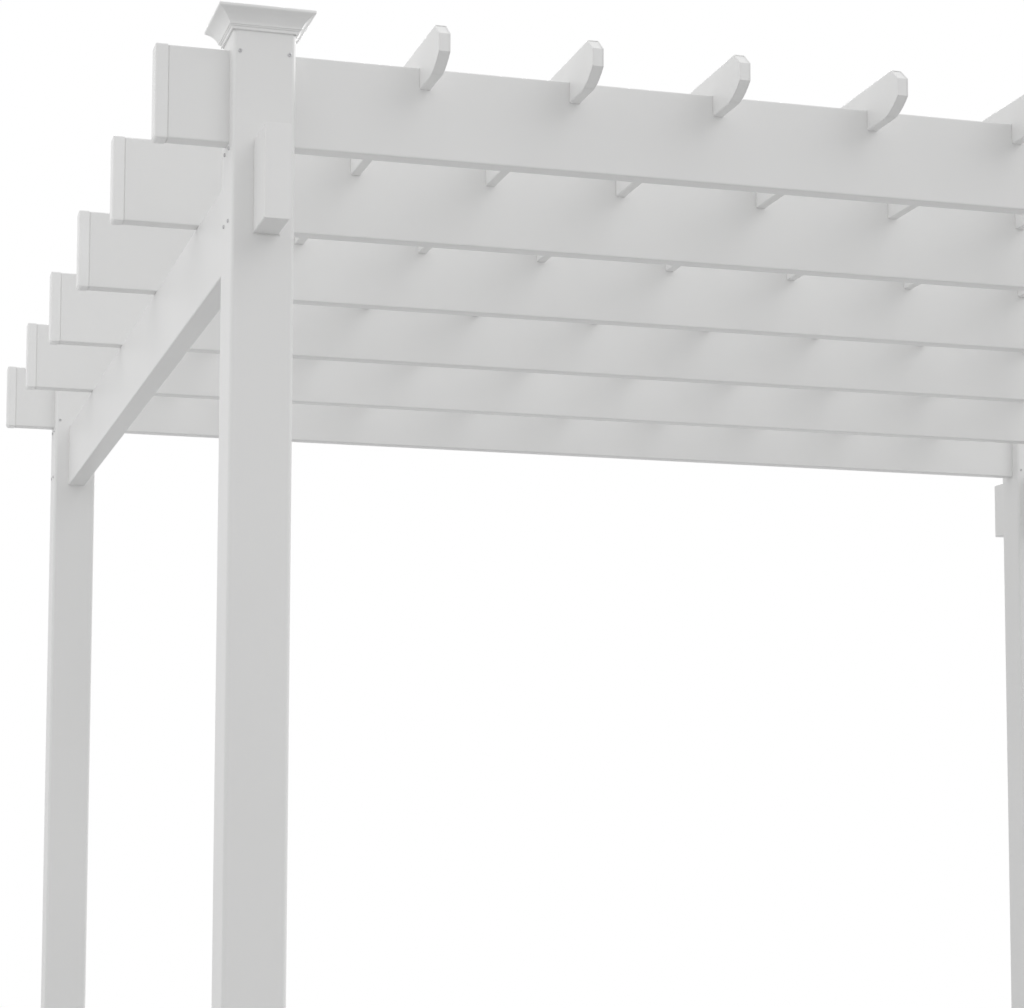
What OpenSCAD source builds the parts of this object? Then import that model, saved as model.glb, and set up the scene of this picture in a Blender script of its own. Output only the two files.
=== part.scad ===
// White vinyl garden pergola: four hollow posts with moulded caps, two side beams
// and two outer rafters that pass through the posts, four more rafters that lie on
// the beams, and nine slats notched down over the rafters. Millimetres. The origin is
// on the ground in the middle of the four posts, +X runs along the rafters, +Y to the
// back and +Z up.

/* [Layout] */
// Post centre to post centre along the rafters
bay_width = 2718; // [2000:1:3600]
// Post centre to post centre along the side beams
bay_depth = 2680; // [2000:1:3600]

/* [Posts] */
// Post, from the ground to its top edge
post_height = 2438.4; // [2000:0.1:3000]
// Width of the square post
post_width = 101.6; // [90:0.1:130]
// Wall of the post
post_wall = 3.8; // [3:0.1:6]
// Outside radius of the post's corners
post_corner = 7; // [6.5:0.5:12]
// Post that stands above the outer rafters
post_over_rafter = 40; // [30:1:90]
// Open joint under a beam where it comes out of the post's outer face
sill_gap = 3; // [1:0.5:6]

/* [Post caps] */
// Width over the cap's rim
cap_width = 156; // [146:1:180]
// Height of the cap's collar on the post
cap_collar_height = 7; // [5:0.5:12]
// Wall of the cap's collar beside the post
cap_collar_wall = 3; // [2:0.5:5]
// Height and reach of each small step over the collar
cap_step = 2.5; // [2:0.5:4]
// Height of the hollow curve under the rim
cap_cove_height = 16; // [12:1:40]
// Height of the rim
cap_rim_height = 6; // [4:0.5:12]
// Rise of the cap's low pyramid
cap_rise = 24; // [10:1:50]
// How far the cap slides down over the post
cap_grip = 16; // [12:1:24]
// Wall of the cap over the post
cap_wall = 4; // [2.5:0.5:8]

/* [Beams] */
// Thickness of a side beam
beam_thickness = 41.3; // [34:0.1:50]
// Height of a side beam
beam_height = 152.4; // [120:0.1:200]
// Wall of a side beam
beam_wall = 2.8; // [2:0.1:5]
// Radius along a side beam's edges
beam_corner = 3; // [1:0.5:6]
// Beam from the post's centre to the face of its end cap
beam_overhang = 150; // [120:1:300]
// Beam's centre from the post's centre, towards the middle
beam_inset = 5; // [0:0.5:14]

/* [Rafters] */
// Thickness of a rafter
rafter_thickness = 34.9; // [26:0.1:45]
// Height of a rafter
rafter_height = 152.4; // [120:0.1:200]
// Wall of a rafter
rafter_wall = 2.5; // [2:0.1:5]
// Radius along a rafter's edges
rafter_corner = 3; // [1:0.5:6]
// Rafter from the post's centre to the face of its end cap
rafter_overhang = 170; // [120:1:300]
// Length of a rafter's end cap that shows
rafter_cap_length = 20; // [14:1:40]
// How far the end cap stands proud of the rafter all round
rafter_cap_proud = 1.2; // [0.5:0.1:3]
// Narrow groove left between the rafter and its end cap
rafter_cap_groove = 2; // [0.5:0.1:4]
// Wall of the end cap
rafter_cap_wall = 2.5; // [1.5:0.1:4]
// Radius of the end cap's outer edges
rafter_cap_corner = 3; // [1:0.5:6]
// Radius of the end cap's lower outer corner
rafter_cap_lower_corner = 8; // [3:0.5:14]

/* [Slats] */
// Thickness of a slat
slat_thickness = 19; // [16:0.1:30]
// Height of a slat
slat_height = 76.2; // [64:0.1:100]
// Wall of a slat
slat_wall = 2; // [1.5:0.1:3]
// Radius along a slat's edges
slat_corner = 2.5; // [1:0.5:5]
// How far a slat is notched down over the rafters
slat_lap = 36; // [25:0.1:45]
// Slat from the outer post's centre to its tip
slat_overhang = 147; // [130:1:300]
// Length of the sloped top corner at the slat's tip
slat_chamfer_length = 28; // [10:1:40]
// Height of the sloped top corner at the slat's tip
slat_chamfer_height = 22; // [10:1:30]
// Length of the swept curve under the slat's tip
slat_sweep_length = 70; // [40:1:80]
// Height of the swept curve under the slat's tip
slat_sweep_height = 25; // [12:1:32]

/* [Fits] */
// Clearance of a piece in its notch or cap, on each side
fit = 0.5; // [0.2:0.05:0.8]
// Clearance of a beam or rafter in its mortise, beside and above it
mortise_fit = 1.2; // [0.5:0.1:2]
// Thickness of the flat face of an end cap
cap_face = 3; // [2:0.1:5]
// Length of an end cap's plug inside its beam, rafter or slat
plug_length = 18; // [10:1:30]
// How far a slat's plug lies inside the slat's tip
plug_set_back = 1; // [0.5:0.1:3]

/* [Hidden] */
$fn = 48;
cut = 20;
white = [0.93, 0.93, 0.92];
rafter_count = 6;
slat_count = 9;
// How far each slat was set left of its even place
slat_set_left = [0, 15, 32, 20, 16, 14, 12, 8, 4];

half_width = bay_width / 2;
half_depth = bay_depth / 2;
rafter_top = post_height - post_over_rafter;
rafter_bottom = rafter_top - rafter_height;
beam_top = rafter_bottom;
beam_bottom = beam_top - beam_height;
beam_x = half_width - beam_inset;
slat_bottom = rafter_top - slat_lap;
rafter_pitch = bay_depth / (rafter_count - 1);
slat_pitch = bay_width / (slat_count + 1);
rafter_end = half_width + rafter_overhang;
beam_end = half_depth + beam_overhang;
slat_end = half_depth + slat_overhang;
cap_bottom = post_height - cap_grip;
collar_half = post_width / 2 + fit + cap_collar_wall;
cove_bottom = cap_collar_height + 2 * cap_step;
cove_half = collar_half + 2 * cap_step;
rim_bottom = cove_bottom + cap_cove_height;
rim_half = cap_width / 2;

function rafter_y(i) = -half_depth + (i - 1) * rafter_pitch;
function slat_x(k) = -half_width + k * slat_pitch - slat_set_left[k - 1];

// Rectangle with round corners, centred
module round_rectangle(size, radius) {
  square([size[0], size[1] - 2 * radius], center = true);
  square([size[0] - 2 * radius, size[1]], center = true);
  for (x = [-1, 1], y = [-1, 1])
    translate([x * (size[0] / 2 - radius), y * (size[1] / 2 - radius)])
      circle(radius);
}

// Solid board along X with round edges, centred on x and y, its underside at z = 0
module board_x(length, thickness, height, corner) {
  translate([0, 0, height / 2])
    rotate([90, 0, 90])
      linear_extrude(length, center = true)
        round_rectangle([thickness, height], corner);
}

// Hollow board of the same form
module hollow_x(length, thickness, height, wall, corner) {
  difference() {
    board_x(length, thickness, height, corner);
    translate([0, 0, wall])
      standing_box([length + cut, thickness - 2 * wall, height - 2 * wall]);
  }
}

// Box centred on x and y that stands on z = 0
module standing_box(size) {
  translate([-size[0] / 2, -size[1] / 2, 0])
    cube(size);
}

// Hollow post with the mortises for its beam and its rafter. The beam lies on the sill
// of the inner wall, and the sill of the outer wall is cut a little lower. The side says
// where the post stands: -1 for left or front, 1 for right or back.
module post(side_x, side_y) {
  beam_slot = [beam_thickness + 2 * mortise_fit, post_width + cut, beam_height + mortise_fit];
  rafter_slot = [post_width + cut, rafter_thickness + 2 * mortise_fit, rafter_height + mortise_fit];
  inside = post_width - 2 * post_wall;
  color(white)
    translate([side_x * half_width, side_y * half_depth, 0])
      difference() {
        linear_extrude(post_height)
          difference() {
            round_rectangle([post_width, post_width], post_corner);
            round_rectangle([inside, inside], post_corner - post_wall);
          }
        translate([-side_x * beam_inset, 0, beam_bottom])
          standing_box(beam_slot);
        translate([-side_x * beam_inset, side_y * (post_width - post_wall) / 2, beam_bottom - sill_gap])
          standing_box([beam_slot[0], 2 * post_wall, 2 * sill_gap]);
        translate([0, 0, rafter_bottom])
          standing_box(rafter_slot);
      }
}

// Half outline of the cap from its collar to its tip: collar, two small steps, a
// hollow curve out to the rim, and the slope of the low pyramid
module cap_outline() {
  cove_reach = rim_half - cove_half;
  difference() {
    polygon([
      [-collar_half, 0], [collar_half, 0],
      [collar_half, cap_collar_height], [collar_half + cap_step, cap_collar_height],
      [collar_half + cap_step, cap_collar_height + cap_step], [cove_half, cap_collar_height + cap_step],
      [cove_half, cove_bottom], [rim_half, rim_bottom], [rim_half, rim_bottom + cap_rim_height],
      [0, rim_bottom + cap_rim_height + cap_rise],
      [-rim_half, rim_bottom + cap_rim_height], [-rim_half, rim_bottom], [-cove_half, cove_bottom],
      [-cove_half, cap_collar_height + cap_step], [-collar_half - cap_step, cap_collar_height + cap_step],
      [-collar_half - cap_step, cap_collar_height], [-collar_half, cap_collar_height]
    ]);
    for (side = [-1, 1])
      cove_hollow(side, cove_reach, cap_cove_height);
  }
}

// Segment of a circle taken out of the slope between the steps and the rim
module cove_hollow(side, reach, height) {
  chord = sqrt(reach * reach + height * height);
  radius = 1.1 * chord;
  offset_out = sqrt(radius * radius - chord * chord / 4);
  translate([
    side * ((cove_half + rim_half) / 2 + offset_out * height / chord),
    (cove_bottom + rim_bottom) / 2 - offset_out * reach / chord
  ])
    circle(radius, $fn = 96);
}

// Moulded cap: the same outline runs round all four sides with mitred corners. The
// underside has a square socket that seats on the post's top edge, and the cap is
// hollow above it.
module post_cap(side_x, side_y) {
  socket = post_width + 2 * fit;
  inside = post_width - 2 * post_wall;
  inside_top = rim_bottom + cap_rim_height + cap_rise * (1 - inside / 2 / rim_half) - cap_wall;
  color(white)
    translate([side_x * half_width, side_y * half_depth, cap_bottom])
      difference() {
        intersection() {
          rotate([90, 0, 0])
            linear_extrude(cap_width, center = true)
              cap_outline();
          rotate([90, 0, 90])
            linear_extrude(cap_width, center = true)
              cap_outline();
        }
        translate([0, 0, -cut])
          standing_box([socket, socket, cap_grip + cut]);
        standing_box([inside, inside, inside_top]);
      }
}

// Hollow side beam that passes through its two posts
module beam(side_x) {
  color(white)
    translate([side_x * beam_x, 0, beam_bottom])
      rotate([0, 0, 90])
        hollow_x(2 * (beam_end - cap_face), beam_thickness, beam_height, beam_wall, beam_corner);
}

// Flat caps that close a side beam's two ends, each with a plug inside the beam
module beam_caps(side_x) {
  plug = [
    beam_thickness - 2 * beam_wall - 2 * fit,
    plug_length,
    beam_height - 2 * beam_wall - 2 * fit
  ];
  color(white)
    for (end = [-1, 1])
      translate([side_x * beam_x, end * beam_end, beam_bottom]) {
        translate([0, -end * cap_face / 2, 0])
          rotate([0, 0, 90])
            board_x(cap_face, beam_thickness, beam_height, beam_corner);
        translate([0, -end * (cap_face + plug_length / 2), beam_wall + fit])
          standing_box(plug);
      }
}

// Hollow rafter. The first and last pass through the posts and all lie on the beams.
module rafter(i) {
  length = 2 * (rafter_end - rafter_cap_length - rafter_cap_groove);
  color(white)
    translate([0, rafter_y(i), rafter_bottom])
      hollow_x(length, rafter_thickness, rafter_height, rafter_wall, rafter_corner);
}

// Rectangle from x = -length to 0 and from y = 0 up, round at its two outer corners
module blunt_outline(length, height, lower, upper) {
  translate([-length, lower])
    square([length, height - lower - upper]);
  translate([-length, 0])
    square([length - lower, lower]);
  translate([-length, height - upper])
    square([length - upper, upper]);
  translate([-lower, lower])
    circle(lower);
  translate([-upper, height - upper])
    circle(upper);
}

// Rafter's end cap for the end towards +X, with its face at x = 0: a hollow block with
// round edges, and a skirt that goes into the rafter
module rafter_cap() {
  width = rafter_thickness + 2 * rafter_cap_proud;
  height = rafter_height + 2 * rafter_cap_proud;
  skirt_width = rafter_thickness - 2 * rafter_wall - 2 * fit;
  skirt_height = rafter_height - 2 * rafter_wall - 2 * fit;
  skirt_length = rafter_cap_groove + plug_length;
  skirt_lift = rafter_wall + fit;
  back = rafter_cap_length + skirt_length;
  difference() {
    union() {
      translate([0, 0, -rafter_cap_proud])
        intersection() {
          translate([-rafter_cap_length / 2, 0, 0])
            board_x(rafter_cap_length, width, height, rafter_cap_corner);
          rotate([90, 0, 0])
            linear_extrude(width, center = true)
              blunt_outline(rafter_cap_length, height, rafter_cap_lower_corner, rafter_cap_corner);
          translate([0, -width / 2, 0])
            linear_extrude(height)
              blunt_outline(rafter_cap_length, width, rafter_cap_corner, rafter_cap_corner);
        }
      translate([-back, -skirt_width / 2, skirt_lift])
        cube([back - cap_face, skirt_width, skirt_height]);
    }
    translate([-back - cut, -skirt_width / 2 + rafter_cap_wall, skirt_lift + rafter_cap_wall])
      cube([
        back + cut - cap_face,
        skirt_width - 2 * rafter_cap_wall,
        skirt_height - 2 * rafter_cap_wall
      ]);
  }
}

// End caps of all the rafters on one side
module rafter_caps(side_x) {
  color(white)
    for (i = [1:rafter_count])
      translate([side_x * rafter_end, rafter_y(i), rafter_bottom])
        mirror([side_x < 0 ? 1 : 0, 0, 0])
          rafter_cap();
}

// Side outline of half a slat in length and height, for the end towards +Y: the tip has
// a sloped top corner and a swept curve below that runs into the underside
module slat_tip_outline(length, height) {
  sweep_radius = (pow(slat_sweep_length, 2) + pow(slat_sweep_height, 2)) / (2 * slat_sweep_height);
  sweep_start = length - slat_sweep_length;
  intersection() {
    polygon([
      [0, 0], [length, 0], [length, height - slat_chamfer_height],
      [length - slat_chamfer_length, height], [0, height]
    ]);
    union() {
      square([sweep_start, height]);
      translate([sweep_start, sweep_radius])
        circle(sweep_radius, $fn = 192);
    }
  }
}

// Whole side outline of a slat, tip to tip
module slat_outline() {
  for (end = [0, 1])
    mirror([end, 0])
      slat_tip_outline(slat_end, slat_height);
}

// Hollow slat with shaped, open tips and a notch over each rafter
module slat(k) {
  inside = [
    slat_thickness - 2 * slat_wall,
    2 * slat_end + cut,
    slat_height - 2 * slat_wall
  ];
  notch = [slat_thickness + cut, rafter_thickness + 2 * fit, slat_lap + cut];
  color(white)
    translate([slat_x(k), 0, slat_bottom])
      difference() {
        intersection() {
          rotate([90, 0, 90])
            linear_extrude(slat_thickness, center = true)
              slat_outline();
          rotate([0, 0, 90])
            board_x(2 * slat_end, slat_thickness, slat_height, slat_corner);
        }
        translate([0, 0, slat_wall])
          standing_box(inside);
        for (i = [1:rafter_count])
          translate([0, rafter_y(i), -cut])
            standing_box(notch);
      }
}

// Plugs that close the shaped tips of the slats on one side, set a little inside
module slat_caps(side_y) {
  thickness = slat_thickness - 2 * slat_wall;
  depth = slat_sweep_length + plug_length;
  color(white)
    for (k = [1:slat_count])
      translate([slat_x(k), 0, slat_bottom])
        intersection() {
          rotate([90, 0, 90])
            linear_extrude(thickness, center = true)
              mirror([side_y < 0 ? 1 : 0, 0])
                slat_tip_outline(slat_end - plug_set_back, slat_height);
          translate([0, side_y * (slat_end - depth / 2), slat_wall])
            standing_box([thickness, depth, slat_height - 2 * slat_wall]);
        }
}

post(-1, -1);  // front_left_post
post(1, -1);  // front_right_post
post(-1, 1);  // back_left_post
post(1, 1);  // back_right_post
post_cap(-1, -1);  // front_left_cap
post_cap(1, -1);  // front_right_cap
post_cap(-1, 1);  // back_left_cap
post_cap(1, 1);  // back_right_cap
beam(-1);  // left_beam
beam(1);  // right_beam
beam_caps(-1);  // left_beam_caps
beam_caps(1);  // right_beam_caps
rafter(1);  // rafter_1
rafter(2);  // rafter_2
rafter(3);  // rafter_3
rafter(4);  // rafter_4
rafter(5);  // rafter_5
rafter(6);  // rafter_6
rafter_caps(-1);  // left_rafter_caps
rafter_caps(1);  // right_rafter_caps
slat(1);  // slat_1
slat(2);  // slat_2
slat(3);  // slat_3
slat(4);  // slat_4
slat(5);  // slat_5
slat(6);  // slat_6
slat(7);  // slat_7
slat(8);  // slat_8
slat(9);  // slat_9
slat_caps(-1);  // front_slat_caps
slat_caps(1);  // back_slat_caps
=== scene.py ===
import math

import bpy
from mathutils import Matrix, Vector


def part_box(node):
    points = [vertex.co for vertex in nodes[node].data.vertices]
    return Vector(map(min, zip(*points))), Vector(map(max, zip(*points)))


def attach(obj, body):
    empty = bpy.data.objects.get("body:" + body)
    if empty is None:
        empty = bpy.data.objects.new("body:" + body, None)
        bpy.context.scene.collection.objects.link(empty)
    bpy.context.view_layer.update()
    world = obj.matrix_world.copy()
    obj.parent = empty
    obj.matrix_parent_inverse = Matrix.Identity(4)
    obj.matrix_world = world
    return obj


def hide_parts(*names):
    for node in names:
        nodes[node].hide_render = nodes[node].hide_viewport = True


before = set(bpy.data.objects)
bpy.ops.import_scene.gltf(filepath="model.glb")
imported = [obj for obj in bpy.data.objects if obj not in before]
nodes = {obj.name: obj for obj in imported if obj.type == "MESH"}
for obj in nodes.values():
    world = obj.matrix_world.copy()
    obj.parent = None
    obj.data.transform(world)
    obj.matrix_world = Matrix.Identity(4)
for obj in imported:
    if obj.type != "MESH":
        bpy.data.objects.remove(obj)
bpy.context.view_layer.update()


# Posts
# Four hollow square posts of white vinyl, extruded and cut to length, with mortises sawn
# through their walls for the beams and rafters. The die leaves very fine lines along the
# length and a low satin gloss.
CORNERS = ("front_left", "front_right", "back_left", "back_right")
VINYL_COLOUR = (0.88, 0.88, 0.875)
VINYL_SHADE = 0.965
VINYL_IOR = 1.5
VINYL_GLOSS = (0.34, 0.46)
VINYL_CLOUD = 2.2
VINYL_CLOUD_DETAIL = 5.0
CLOUD_REACH = (0.3, 0.68)
LINES_ALONG = 0.4
LINES_ACROSS = 170.0
LINES_DETAIL = 3.0
LINES_STRENGTH = 0.12
LINES_HEIGHT = 0.0004


def new_finish(name):
    """A material, its nodes, its shader and the coordinates of the piece that it is on."""
    material = bpy.data.materials.new(name)
    material.use_nodes = True
    tree = material.node_tree
    coords = tree.nodes.new("ShaderNodeTexCoord")
    return material, tree, tree.nodes["Principled BSDF"], coords.outputs["Object"]


def mottle(tree, coords, scale, detail):
    """Noise at the coordinates, finer with a larger scale."""
    noise = tree.nodes.new("ShaderNodeTexNoise")
    noise.inputs["Scale"].default_value = scale
    noise.inputs["Detail"].default_value = detail
    tree.links.new(coords, noise.inputs["Vector"])
    return noise.outputs["Fac"]


def tint_by(noise, tree, shader, colour, shade, reach):
    """Takes the colour from a darker shade to full over the reach of the noise."""
    tint = tree.nodes.new("ShaderNodeValToRGB")
    dark, full = tint.color_ramp.elements
    dark.position = reach[0]
    dark.color = tuple(c * shade for c in colour) + (1.0,)
    full.position = reach[1]
    full.color = colour + (1.0,)
    tree.links.new(noise, tint.inputs["Fac"])
    tree.links.new(tint.outputs["Color"], shader.inputs["Base Color"])


def gloss_by(noise, tree, shader, roughness):
    """Varies the roughness between two values with the noise."""
    gloss = tree.nodes.new("ShaderNodeMapRange")
    gloss.inputs["To Min"].default_value = roughness[0]
    gloss.inputs["To Max"].default_value = roughness[1]
    tree.links.new(noise, gloss.inputs["Value"])
    tree.links.new(gloss.outputs["Result"], shader.inputs["Roughness"])


def relief_by(noise, tree, shader, strength, height):
    """Raises the surface a little with the noise."""
    relief = tree.nodes.new("ShaderNodeBump")
    relief.inputs["Strength"].default_value = strength
    relief.inputs["Distance"].default_value = height
    tree.links.new(noise, relief.inputs["Height"])
    tree.links.new(relief.outputs["Normal"], shader.inputs["Normal"])


def extruded_vinyl(name, length_axis):
    """Satin white vinyl with die lines along one axis: 0 for X, 1 for Y, 2 for Z."""
    material, tree, shader, coords = new_finish(name)
    shader.inputs["IOR"].default_value = VINYL_IOR
    cloud = mottle(tree, coords, VINYL_CLOUD, VINYL_CLOUD_DETAIL)
    tint_by(cloud, tree, shader, VINYL_COLOUR, VINYL_SHADE, CLOUD_REACH)
    stretch = tree.nodes.new("ShaderNodeMapping")
    scale = [LINES_ACROSS] * 3
    scale[length_axis] = LINES_ALONG
    stretch.inputs["Scale"].default_value = scale
    tree.links.new(coords, stretch.inputs["Vector"])
    lines = mottle(tree, stretch.outputs["Vector"], 1.0, LINES_DETAIL)
    gloss_by(lines, tree, shader, VINYL_GLOSS)
    relief_by(lines, tree, shader, LINES_STRENGTH, LINES_HEIGHT)
    return material


def finish_node(name, material):
    nodes[name].data.materials.clear()
    nodes[name].data.materials.append(material)


post_vinyl = extruded_vinyl("post_vinyl", 2)
for corner in CORNERS:
    finish_node(corner + "_post", post_vinyl)


# Side beams
# Two hollow vinyl boards on edge, one on each side, extruded in one length and pushed
# through the mortises of the front and back posts.
beam_vinyl = extruded_vinyl("beam_vinyl", 1)
for side in ("left", "right"):
    finish_node(side + "_beam", beam_vinyl)


# End caps of the beams, rafters and slats
# Moulded vinyl, a little whiter than the extrusions, with the fine pebbled skin that a
# mould leaves. Their plugs and skirts are glued into the open ends of the hollow boards.
MOULDING_COLOUR = (0.91, 0.91, 0.905)
MOULDING_SHADE = 0.97
MOULDING_GLOSS = (0.28, 0.40)
MOULDING_CLOUD = 9.0
MOULDING_CLOUD_DETAIL = 4.0
PEBBLES = 420.0
PEBBLE_DETAIL = 2.0
PEBBLE_STRENGTH = 0.1
PEBBLE_HEIGHT = 0.0003


def moulded_vinyl(name):
    """White vinyl with a fine pebbled skin."""
    material, tree, shader, coords = new_finish(name)
    shader.inputs["IOR"].default_value = VINYL_IOR
    cloud = mottle(tree, coords, MOULDING_CLOUD, MOULDING_CLOUD_DETAIL)
    tint_by(cloud, tree, shader, MOULDING_COLOUR, MOULDING_SHADE, CLOUD_REACH)
    pebbles = mottle(tree, coords, PEBBLES, PEBBLE_DETAIL)
    gloss_by(pebbles, tree, shader, MOULDING_GLOSS)
    relief_by(pebbles, tree, shader, PEBBLE_STRENGTH, PEBBLE_HEIGHT)
    return material


end_moulding = moulded_vinyl("end_moulding")
for name in (
    "left_beam_caps", "right_beam_caps", "left_rafter_caps", "right_rafter_caps",
    "front_slat_caps", "back_slat_caps",
):
    finish_node(name, end_moulding)


# Rafters
# Six hollow vinyl boards on edge that lie across the beams. The first and last run
# through the posts, and each is one extruded length.
RAFTER_COUNT = 6
rafter_vinyl = extruded_vinyl("rafter_vinyl", 0)
for number in range(1, RAFTER_COUNT + 1):
    finish_node("rafter_%d" % number, rafter_vinyl)


# Slats
# Nine thin hollow vinyl boards, sawn to a swept tip at both ends and notched down over
# the rafters.
SLAT_COUNT = 9
slat_vinyl = extruded_vinyl("slat_vinyl", 1)
for number in range(1, SLAT_COUNT + 1):
    finish_node("slat_%d" % number, slat_vinyl)


# Post caps
# Moulded vinyl caps: a collar with two small steps, a hollow flare out to a thin rim and a
# low pyramid. Each is pushed over its post's end and glued, and the mould leaves every
# edge a little soft.
COLLAR_WALL = 0.0035
COLLAR_HEIGHT = 0.005
CAP_STEP = 0.002
FLARE_HEIGHT = 0.0205
FLARE_HOLLOW = 0.09
FLARE_STEPS = 7
RIM_HEIGHT = 0.0045
SOCKET_DEPTH = 0.016
SOFT_EDGE = 0.0009
SOFT_EDGE_STEPS = 3
SHARP_ANGLE = math.radians(35)
MOSTLY_LEVEL = 0.5


def faces_up(face):
    return face.normal.z > MOSTLY_LEVEL


def faces_down(face):
    return face.normal.z < -MOSTLY_LEVEL


def select_faces(piece, wanted):
    """Opens a piece in edit mode with only the wanted faces selected."""
    bpy.ops.object.select_all(action="DESELECT")
    piece.select_set(True)
    bpy.context.view_layer.objects.active = piece
    bpy.ops.object.mode_set(mode="EDIT")
    bpy.ops.mesh.select_mode(type="FACE")
    bpy.ops.mesh.select_all(action="DESELECT")
    bpy.ops.object.mode_set(mode="OBJECT")
    for face in piece.data.polygons:
        face.select = wanted(face)
    bpy.ops.object.mode_set(mode="EDIT")


def extrude_up(rise):
    bpy.ops.mesh.extrude_region_move(
        TRANSFORM_OT_translate={"value": (0, 0, rise), "orient_type": "GLOBAL"}
    )


def copy_to(piece, name, place):
    """A copy with a mesh of its own, which the matrix puts in its place."""
    twin = piece.copy()
    twin.data = piece.data.copy()
    twin.name = name
    bpy.context.scene.collection.objects.link(twin)
    twin.data.transform(place)
    return twin


def middle(name):
    """The middle of a node's box."""
    low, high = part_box(name)
    return [(a + b) / 2 for a, b in zip(low, high)]


post_low, post_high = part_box("front_left_post")
cap_low, cap_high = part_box("front_left_cap")
cap_x, cap_y = middle("front_left_cap")[:2]
cap_bottom = cap_low[2]
post_half = (post_high[0] - post_low[0]) / 2
rim_half = (cap_high[0] - cap_low[0]) / 2
collar_half = post_half + COLLAR_WALL
flare_half = collar_half + 2 * CAP_STEP
flare_bottom = COLLAR_HEIGHT + 2 * CAP_STEP
flare_reach = rim_half - flare_half
cap_outline = [
    (collar_half + CAP_STEP, COLLAR_HEIGHT),
    (collar_half + CAP_STEP, COLLAR_HEIGHT + CAP_STEP),
    (flare_half, COLLAR_HEIGHT + CAP_STEP),
    (flare_half, flare_bottom),
]
for step in range(1, FLARE_STEPS + 1):
    share = step / FLARE_STEPS
    hollow = 4 * FLARE_HOLLOW * share * (1 - share)
    cap_outline.append((
        flare_half + flare_reach * share - FLARE_HEIGHT * hollow,
        flare_bottom + FLARE_HEIGHT * share + flare_reach * hollow,
    ))
cap_outline.append((rim_half, flare_bottom + FLARE_HEIGHT + RIM_HEIGHT))

bpy.ops.object.select_all(action="DESELECT")
bpy.ops.mesh.primitive_cube_add(
    size=1.0,
    location=(cap_x, cap_y, cap_bottom + COLLAR_HEIGHT / 2),
    scale=(2 * collar_half, 2 * collar_half, COLLAR_HEIGHT),
)
cap = bpy.context.object
cap.name = "front_left_moulded_cap"
bpy.ops.object.transform_apply(location=True, rotation=True, scale=True)
select_faces(cap, faces_up)
half, height = collar_half, COLLAR_HEIGHT
for next_half, next_height in cap_outline:
    extrude_up(next_height - height)
    bpy.ops.transform.resize(
        value=(next_half / half, next_half / half, 1),
        center_override=(cap_x, cap_y, cap_bottom + next_height),
    )
    half, height = next_half, next_height
extrude_up(cap_high[2] - cap_bottom - height)
bpy.ops.mesh.merge(type="CENTER")
bpy.ops.object.mode_set(mode="OBJECT")
select_faces(cap, lambda face: faces_down(face) and face.center.z < cap_bottom + COLLAR_HEIGHT / 2)
bpy.ops.mesh.inset(thickness=COLLAR_WALL)
extrude_up(SOCKET_DEPTH)
bpy.ops.object.mode_set(mode="OBJECT")
soften = cap.modifiers.new("soft_edges", "BEVEL")
soften.width = SOFT_EDGE
soften.segments = SOFT_EDGE_STEPS
soften.limit_method = "ANGLE"
soften.angle_limit = SHARP_ANGLE
bpy.ops.object.modifier_apply(modifier="soft_edges")
bpy.ops.object.shade_smooth_by_angle(angle=SHARP_ANGLE)
cap.data.materials.append(moulded_vinyl("cap_moulding"))

post_caps = [cap]
for corner in CORNERS[1:]:
    shift = Vector(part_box(corner + "_cap")[0]) - Vector(cap_low)
    post_caps.append(copy_to(cap, corner + "_moulded_cap", Matrix.Translation(shift)))
for corner, piece in zip(CORNERS, post_caps):
    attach(piece, "root")
    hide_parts(corner + "_cap")


# Glue in the joints
# White vinyl glue, wiped off just below the surface. It fills the gap beside and above each
# beam and rafter where it goes into a post, the deeper joint under the beam at the post's
# outer face, and the groove behind each rafter's end cap. The gaps are as the posts and
# the end caps are made.
MORTISE_GAP = 0.0012
SILL_GAP = 0.003
GROOVE_WIDTH = 0.002
GROOVE_DEPTH = 0.003
GLUE_GRIP = 0.0009
GLUE_DEPTH = 0.003
JOINT_BELOW = 0.0003
SILL_BELOW = 0.0016
GROOVE_BELOW = 0.0009
GLUE_EDGE = 0.0002
GLUE_EDGE_STEPS = 2
GLUE_COLOUR = (0.90, 0.90, 0.89)
GLUE_SHADE = 0.94
GLUE_GLOSS = (0.35, 0.55)
GLUE_RIPPLES = 160.0
GLUE_RIPPLE_DETAIL = 3.0
GLUE_RIPPLE_REACH = (0.0, 1.0)
UP = Vector((0, 0, 1))


def dried_glue(name):
    """White glue with fine ripples."""
    material, tree, shader, coords = new_finish(name)
    ripples = mottle(tree, coords, GLUE_RIPPLES, GLUE_RIPPLE_DETAIL)
    tint_by(ripples, tree, shader, GLUE_COLOUR, GLUE_SHADE, GLUE_RIPPLE_REACH)
    gloss_by(ripples, tree, shader, GLUE_GLOSS)
    return material


def soften_glue(piece):
    soften = piece.modifiers.new("soft_edges", "BEVEL")
    soften.width = GLUE_EDGE
    soften.segments = GLUE_EDGE_STEPS
    bpy.ops.object.modifier_apply(modifier="soft_edges")
    piece.data.materials.append(joint_glue)


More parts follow.
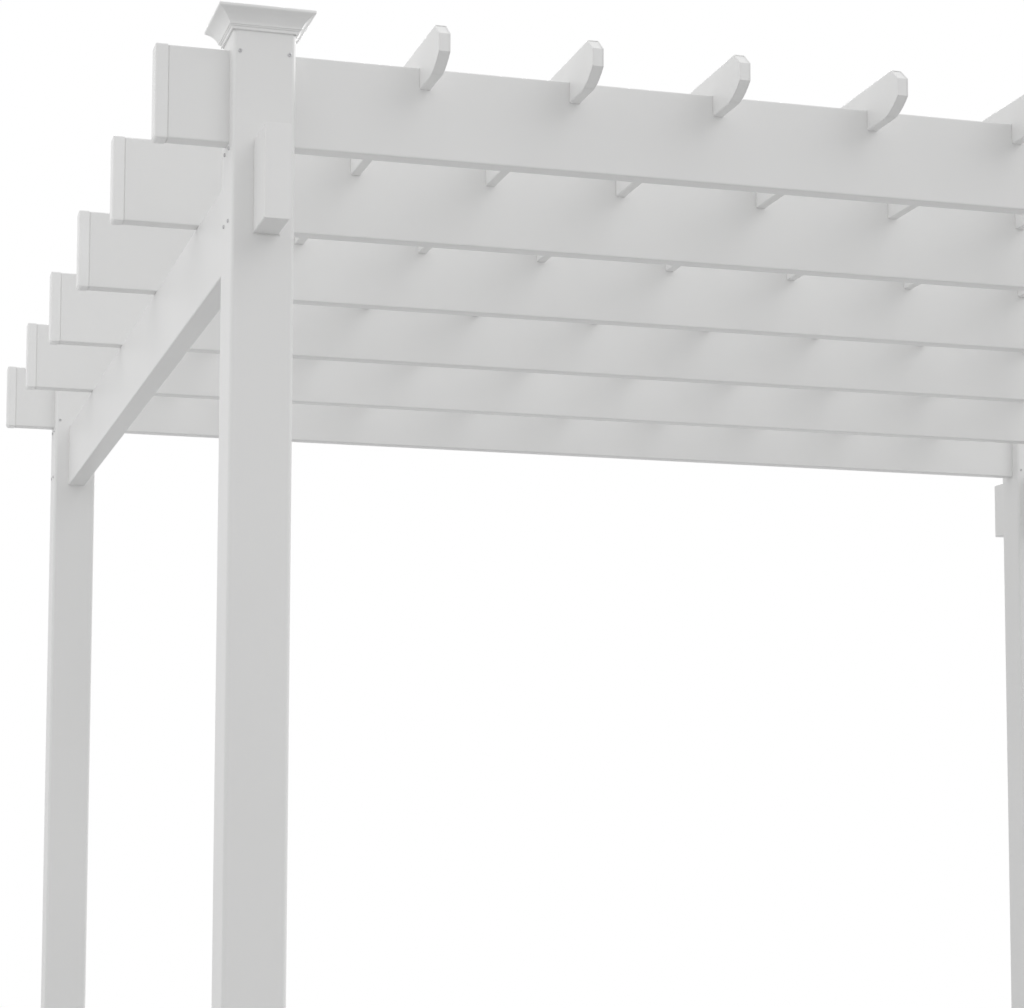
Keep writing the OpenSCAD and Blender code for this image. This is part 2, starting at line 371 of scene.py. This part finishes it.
def glue_frame(name, width, height, band, depth, open_below):
    """A frame of glue round the origin that faces +Z, with +Y for up."""
    bpy.ops.object.select_all(action="DESELECT")
    bpy.ops.mesh.primitive_plane_add(size=1.0, location=(0, 0, 0))
    piece = bpy.context.object
    piece.name = name
    bpy.ops.transform.resize(value=(width, height, 1))
    bpy.ops.object.transform_apply(location=True, rotation=True, scale=True)
    select_faces(piece, lambda face: True)
    bpy.ops.mesh.inset(thickness=band)
    bpy.ops.mesh.delete(type="FACE")
    bpy.ops.object.mode_set(mode="OBJECT")
    if open_below:
        select_faces(piece, lambda face: face.center.y < band - height / 2)
        bpy.ops.mesh.delete(type="FACE")
        bpy.ops.object.mode_set(mode="OBJECT")
    select_faces(piece, lambda face: True)
    extrude_up(-depth)
    bpy.ops.mesh.select_all(action="SELECT")
    bpy.ops.mesh.normals_make_consistent(inside=False)
    bpy.ops.object.mode_set(mode="OBJECT")
    soften_glue(piece)
    return piece


def glue_strip(name, width, height, depth):
    """A strip of glue on the origin that faces +Z, with +Y for up."""
    bpy.ops.object.select_all(action="DESELECT")
    bpy.ops.mesh.primitive_cube_add(size=1.0, location=(0, 0, -depth / 2), scale=(width, height, depth))
    piece = bpy.context.object
    piece.name = name
    bpy.ops.object.transform_apply(location=True, rotation=True, scale=True)
    soften_glue(piece)
    return piece


def face_out(place, outwards):
    """Puts a piece that faces +Z on an upright face, with its +Y up."""
    turn = Matrix((UP.cross(outwards), UP, outwards)).transposed()
    return Matrix.Translation(place) @ turn.to_4x4()


def join_as(name, pieces):
    """Joins pieces into one that rides on the root body."""
    bpy.ops.object.select_all(action="DESELECT")
    for piece in pieces:
        piece.select_set(True)
    bpy.context.view_layer.objects.active = pieces[0]
    bpy.ops.object.join()
    pieces[0].name = name
    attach(pieces[0], "root")


joint_glue = dried_glue("joint_glue")
beam_low, beam_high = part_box("left_beam")
rafter_low, rafter_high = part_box("rafter_1")
rafter_bottom, rafter_top = rafter_low[2], rafter_high[2]
beam_bottom, beam_top = beam_low[2], beam_high[2]
beam_thickness = beam_high[0] - beam_low[0]
rafter_thickness = rafter_high[1] - rafter_low[1]
band = MORTISE_GAP + GLUE_GRIP
lift = (MORTISE_GAP - band) / 2
beam_glue = glue_frame(
    "beam_glue", beam_thickness + 2 * MORTISE_GAP, beam_top - beam_bottom + MORTISE_GAP + band,
    band, GLUE_DEPTH, True,
)
rafter_glue = glue_frame(
    "rafter_glue", rafter_thickness + 2 * MORTISE_GAP, rafter_top - rafter_bottom + MORTISE_GAP + band,
    band, GLUE_DEPTH, True,
)
groove_glue = glue_frame(
    "groove_glue", rafter_thickness - 2 * GROOVE_BELOW, rafter_top - rafter_bottom - 2 * GROOVE_BELOW,
    GROOVE_DEPTH + GLUE_GRIP - GROOVE_BELOW, GROOVE_WIDTH, False,
)
sill_glue = glue_strip("sill_glue", beam_thickness + 2 * band, SILL_GAP + 2 * GLUE_GRIP, GLUE_DEPTH)
joint_reach = post_half - JOINT_BELOW
sill_reach = post_half - SILL_BELOW
for corner in CORNERS:
    x, y = middle(corner + "_post")[:2]
    beam_x = middle("left_beam" if x < 0 else "right_beam")[0]
    pieces = []
    for side in (-1, 1):
        place = (beam_x, y + side * joint_reach, (beam_bottom + beam_top) / 2 + lift)
        pieces.append(copy_to(beam_glue, "glue", face_out(place, Vector((0, side, 0)))))
        place = (x + side * joint_reach, y, (rafter_bottom + rafter_top) / 2 + lift)
        pieces.append(copy_to(rafter_glue, "glue", face_out(place, Vector((side, 0, 0)))))
    side_y = math.copysign(1, y)
    place = (beam_x, y + side_y * sill_reach, beam_bottom - SILL_GAP / 2)
    pieces.append(copy_to(sill_glue, "glue", face_out(place, Vector((0, side_y, 0)))))
    join_as(corner + "_joint_glue", pieces)
for side, name in ((-1, "left_cap_glue"), (1, "right_cap_glue")):
    pieces = []
    for number in range(1, RAFTER_COUNT + 1):
        low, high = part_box("rafter_%d" % number)
        end = high[0] if side > 0 else low[0]
        place = (end + side * GROOVE_WIDTH, (low[1] + high[1]) / 2, (low[2] + high[2]) / 2)
        pieces.append(copy_to(groove_glue, "glue", face_out(place, Vector((side, 0, 0)))))
    join_as(name, pieces)
for pattern in (beam_glue, rafter_glue, groove_glue, sill_glue):
    bpy.data.objects.remove(pattern)


# Screws in the posts
# Pan-head steel screws with a pale grey coating and a cross recess. They go through the
# post's walls into the rafter and the beam, which are glued and screwed in their mortises.
HEAD_RADIUS = 0.0033
HEAD_HEIGHT = 0.0022
HEAD_ROUND = 0.0011
HEAD_ROUND_STEPS = 3
HEAD_SIDES = 20
SHANK_RADIUS = 0.0017
SHANK_LENGTH = 0.012
RECESS_LENGTH = 0.0040
RECESS_WIDTH = 0.0009
RECESS_DEPTH = 0.0014
SCREW_COLOUR = (0.68, 0.68, 0.69)
SCREW_SHADE = 0.9
SCREW_METAL = 0.3
SCREW_GLOSS = (0.38, 0.6)
SCREW_WEAR = 900.0
SCREW_WEAR_DETAIL = 3.0
SCREW_WEAR_REACH = (0.45, 0.75)
RAFTER_SCREW_SIDE = 0.040
RAFTER_SCREW_DROP = 0.010
RAFTER_SCREW_RISE = 0.015
BEAM_SCREW_SIDE = 0.020
BEAM_SCREW_RISE = 0.024
BEAM_SCREW_DROP = 0.010


def grey_coating(name):
    """Pale grey coating on steel, a little worn."""
    material, tree, shader, coords = new_finish(name)
    shader.inputs["Metallic"].default_value = SCREW_METAL
    wear = mottle(tree, coords, SCREW_WEAR, SCREW_WEAR_DETAIL)
    tint_by(wear, tree, shader, SCREW_COLOUR, SCREW_SHADE, SCREW_WEAR_REACH)
    gloss_by(wear, tree, shader, SCREW_GLOSS)
    return material


bpy.ops.object.select_all(action="DESELECT")
bpy.ops.mesh.primitive_cylinder_add(
    vertices=HEAD_SIDES, radius=HEAD_RADIUS, depth=HEAD_HEIGHT, location=(0, 0, HEAD_HEIGHT / 2)
)
screw = bpy.context.object
screw.name = "screw_pattern"
bpy.ops.object.transform_apply(location=True, rotation=True, scale=True)
select_faces(screw, faces_down)
bpy.ops.mesh.inset(thickness=HEAD_RADIUS - SHANK_RADIUS)
extrude_up(-SHANK_LENGTH)
bpy.ops.object.mode_set(mode="OBJECT")
select_faces(screw, faces_up)
bpy.ops.mesh.bevel(offset=HEAD_ROUND, segments=HEAD_ROUND_STEPS, affect="EDGES")
bpy.ops.object.mode_set(mode="OBJECT")
for turn in (0, math.pi / 2):
    bpy.ops.object.select_all(action="DESELECT")
    bpy.ops.mesh.primitive_cube_add(
        size=1.0,
        location=(0, 0, HEAD_HEIGHT),
        rotation=(0, 0, turn),
        scale=(RECESS_LENGTH, RECESS_WIDTH, 2 * RECESS_DEPTH),
    )
    cutter = bpy.context.object
    bpy.ops.object.select_all(action="DESELECT")
    screw.select_set(True)
    bpy.context.view_layer.objects.active = screw
    recess = screw.modifiers.new("recess", "BOOLEAN")
    recess.operation = "DIFFERENCE"
    recess.solver = "EXACT"
    recess.object = cutter
    bpy.ops.object.modifier_apply(modifier="recess")
    bpy.data.objects.remove(cutter)
bpy.ops.object.shade_smooth_by_angle(angle=SHARP_ANGLE)
screw.data.materials.append(grey_coating("screw_coating"))


def set_screws(name, places):
    """One piece of like screws, each copied to a place and turned to face outwards there."""
    pieces = []
    for place, outwards in places:
        turn = Vector(outwards).to_track_quat("Z", "Y").to_matrix().to_4x4()
        pieces.append(copy_to(screw, "screw", Matrix.Translation(place) @ turn))
    join_as(name, pieces)


for corner in CORNERS:
    x, y = middle(corner + "_post")[:2]
    side_x = math.copysign(1, x)
    side_y = math.copysign(1, y)
    outer_y = y + side_y * post_half
    inner_y = y - side_y * post_half
    places = []
    for side in (-1, 1):
        across = x + side * RAFTER_SCREW_SIDE
        places.append(((across, outer_y, rafter_top - RAFTER_SCREW_DROP), (0, side_y, 0)))
        places.append(((across, inner_y, rafter_bottom + RAFTER_SCREW_RISE), (0, -side_y, 0)))
        along = y + side * BEAM_SCREW_SIDE
        for level in (beam_bottom + BEAM_SCREW_RISE, rafter_bottom - BEAM_SCREW_DROP):
            places.append(((x + side_x * post_half, along, level), (side_x, 0, 0)))
    set_screws(corner + "_post_screws", places)


# Screws in the slats
# The same coated steel screws, one down through the top of each slat into each rafter that
# it crosses. They hold the slats in their notches.
slat_screw_places = []
for slat_number in range(1, SLAT_COUNT + 1):
    slat_name = "slat_%d" % slat_number
    slat_x = middle(slat_name)[0]
    slat_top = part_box(slat_name)[1][2]
    for rafter_number in range(1, RAFTER_COUNT + 1):
        rafter_y = middle("rafter_%d" % rafter_number)[1]
        slat_screw_places.append(((slat_x, rafter_y, slat_top), (0, 0, 1)))
set_screws("slat_screws", slat_screw_places)
bpy.data.objects.remove(screw)


# Floor and surround
# A plain grey floor that keeps the shadow, in a surround that looks white but lights the
# object a little less than it looks.
FLOOR_RADIUS = 7.0
FLOOR_SIDES = 96
FLOOR_COLOUR = 0.48
FLOOR_ROUGHNESS = 0.9
WHITE = (1, 1, 1, 1)
SKY_STRENGTH = 0.63
SEEN_STRENGTH = 1.0
bpy.ops.object.select_all(action="DESELECT")
bpy.ops.mesh.primitive_circle_add(
    vertices=FLOOR_SIDES, radius=FLOOR_RADIUS, fill_type="NGON", location=(0, 0, 0)
)
floor = bpy.context.object
floor.name = "floor"
floor_material = bpy.data.materials.new("pale_floor")
floor_material.use_nodes = True
floor_shader = floor_material.node_tree.nodes["Principled BSDF"]
floor_shader.inputs["Base Color"].default_value = (FLOOR_COLOUR, FLOOR_COLOUR, FLOOR_COLOUR, 1)
floor_shader.inputs["Roughness"].default_value = FLOOR_ROUGHNESS
floor.data.materials.append(floor_material)

world = bpy.data.worlds.new("surround")
bpy.context.scene.world = world
world.use_nodes = True
tree = world.node_tree
tree.nodes.clear()
output = tree.nodes.new("ShaderNodeOutputWorld")
sky = tree.nodes.new("ShaderNodeBackground")
sky.inputs["Color"].default_value = WHITE
sky.inputs["Strength"].default_value = SKY_STRENGTH
seen = tree.nodes.new("ShaderNodeBackground")
seen.inputs["Color"].default_value = WHITE
seen.inputs["Strength"].default_value = SEEN_STRENGTH
path = tree.nodes.new("ShaderNodeLightPath")
camera_or_gloss = tree.nodes.new("ShaderNodeMath")
camera_or_gloss.operation = "MAXIMUM"
tree.links.new(path.outputs["Is Camera Ray"], camera_or_gloss.inputs[0])
tree.links.new(path.outputs["Is Glossy Ray"], camera_or_gloss.inputs[1])
any_view = tree.nodes.new("ShaderNodeMath")
any_view.operation = "MAXIMUM"
tree.links.new(camera_or_gloss.outputs["Value"], any_view.inputs[0])
tree.links.new(path.outputs["Is Transmission Ray"], any_view.inputs[1])
mix = tree.nodes.new("ShaderNodeMixShader")
tree.links.new(any_view.outputs["Value"], mix.inputs["Fac"])
tree.links.new(sky.outputs["Background"], mix.inputs[1])
tree.links.new(seen.outputs["Background"], mix.inputs[2])
tree.links.new(mix.outputs["Shader"], output.inputs["Surface"])


# Light
# Two broad soft lamps of like strength shine from the right and from the back, above the
# slats, whose right faces throw light on the rafters beside them. A weaker lamp lifts the
# front, and a panel high on the left lights the left faces.
PANEL_POWER = 34
PANEL_SIZE = (5.0, 4.0)
PANEL_PLACE = (-4.4, -0.9, 4.0)
PANEL_TOWARDS = (1.0, 0.05, -0.4)


def add_lamp(data, towards):
    """Puts a lamp in the scene and points it."""
    lamp = bpy.data.objects.new(data.name, data)
    bpy.context.scene.collection.objects.link(lamp)
    lamp.rotation_euler = Vector(towards).to_track_quat("-Z", "Y").to_euler()
    return lamp


def add_soft_sun(name, energy, spread, towards):
    """A sun whose light comes from a disc of the given spread in degrees."""
    data = bpy.data.lights.new(name, "SUN")
    data.energy = energy
    data.angle = math.radians(spread)
    add_lamp(data, towards)


add_soft_sun("right_light", energy=1.1, spread=25, towards=(-0.90, -0.10, -0.42))
add_soft_sun("front_light", energy=0.33, spread=40, towards=(-0.45, 0.70, -0.55))
add_soft_sun("back_light", energy=1.05, spread=25, towards=(-0.22, -0.91, -0.35))

panel_data = bpy.data.lights.new("left_panel", "AREA")
panel_data.energy = PANEL_POWER
panel_data.shape = "RECTANGLE"
panel_data.size = PANEL_SIZE[0]
panel_data.size_y = PANEL_SIZE[1]
panel = add_lamp(panel_data, PANEL_TOWARDS)
panel.location = PANEL_PLACE


# Camera
# Low in front of the left corner, looking back, a little right and a little up, as the
# photograph was taken. The focal length and the centre are in pixels, the turns in radians.
IMAGE_WIDTH, IMAGE_HEIGHT = 1024, 1008
FOCAL = 2622.72
CENTRE = (580.0, 640.0)
TURN_X, TURN_Y, TURN_Z = 0.0935, -0.0281, -0.2981
PLACE = (-2.0832, -5.4426, 1.0437)
SENSOR_WIDTH = 36.0
FARTHEST_SEEN = 200.0

camera_data = bpy.data.cameras.new("camera")
camera_data.sensor_width = SENSOR_WIDTH
camera_data.sensor_fit = "HORIZONTAL"
camera_data.lens = FOCAL / IMAGE_WIDTH * SENSOR_WIDTH
camera_data.shift_x = (IMAGE_WIDTH / 2 - CENTRE[0]) / IMAGE_WIDTH
camera_data.shift_y = (CENTRE[1] - IMAGE_HEIGHT / 2) / IMAGE_WIDTH
camera_data.clip_end = FARTHEST_SEEN
camera = bpy.data.objects.new("camera", camera_data)
bpy.context.scene.collection.objects.link(camera)
bpy.context.scene.camera = camera
turn = Matrix.Rotation(TURN_X, 3, "X") @ Matrix.Rotation(TURN_Y, 3, "Y") @ Matrix.Rotation(TURN_Z, 3, "Z")
right, forward, up = turn.col[0], turn.col[1], turn.col[2]
basis = Matrix((right, up, -forward)).transposed()
camera.matrix_world = Matrix.Translation(PLACE) @ basis.to_4x4()

bpy.context.scene.view_settings.view_transform = "Standard"
